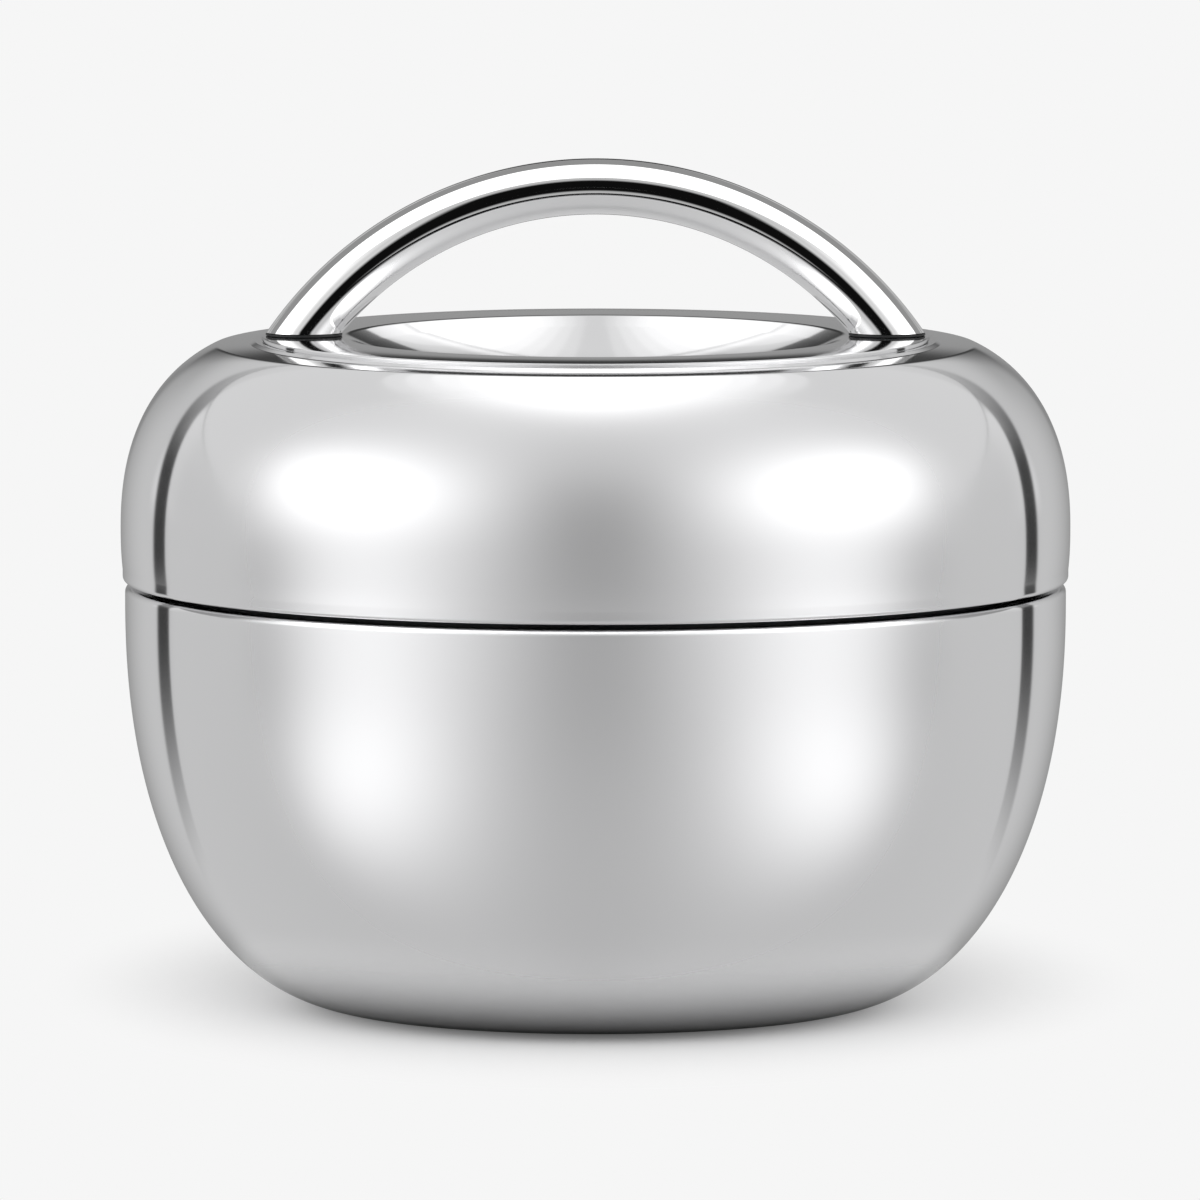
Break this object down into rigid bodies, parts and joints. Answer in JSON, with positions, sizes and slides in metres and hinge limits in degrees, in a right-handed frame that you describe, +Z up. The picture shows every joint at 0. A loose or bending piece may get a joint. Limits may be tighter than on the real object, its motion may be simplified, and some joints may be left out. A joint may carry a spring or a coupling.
{
  "type": "insulated lunch box",
  "caption": "Round insulated lunch box of polished steel: double-walled bowl, screw lid with a dished top and an arched tube handle that stands on the dish's rim.",
  "frame": {"origin": "middle of the face that the box stands on, on the table", "axes": "+Z up, the arch of the handle spans along X, the picture looks along +Y from the side of -Y"},
  "size_m": [0.165, 0.165, 0.1488],
  "materials": {
    "polished_steel": "polished",
    "brushed_steel": "satin",
    "dark_plastic": "satin",
    "pale_plastic": "satin",
    "foam": "matte",
    "black_silicone": "matte",
    "clear_silicone": "satin"
  },
  "bodies": {
    "bowl": {"bowl_outer_shell": "polished_steel", "bowl_inner_liner": "brushed_steel", "bowl_insulation": "foam", "neck_ring": "dark_plastic", "neck_gasket": "black_silicone", "base_cap": "dark_plastic", "foot_ring": "black_silicone"},
    "seal": {"lid_seal": "clear_silicone"},
    "lid": {"lid_outer_shell": "polished_steel", "lid_dish": "polished_steel", "lid_insulation": "foam", "lid_liner": "pale_plastic", "handle_tube": "polished_steel", "handle_plug_left": "brushed_steel", "handle_plug_right": "brushed_steel", "foot_gasket_left": "black_silicone", "foot_gasket_right": "black_silicone", "stud_washer_left": "brushed_steel", "stud_washer_right": "brushed_steel", "stud_nut_left": "brushed_steel", "stud_nut_right": "brushed_steel"}
  },
  "joints": [
    {"name": "lid_lift", "type": "slide", "parent": "bowl", "child": "seal", "axis": [0, 0, 1], "range_m": [0, 0.0721]},
    {"name": "lid_turn", "type": "hinge", "parent": "seal", "child": "lid", "pos_m": [0, 0, 0.08], "axis": [0, 0, 1], "range_deg": [0, 720]}
  ],
  "couplings": [
    {"joint": "lid_lift", "follows": "lid_turn", "m_per_rad": 0.0057296}
  ]
}
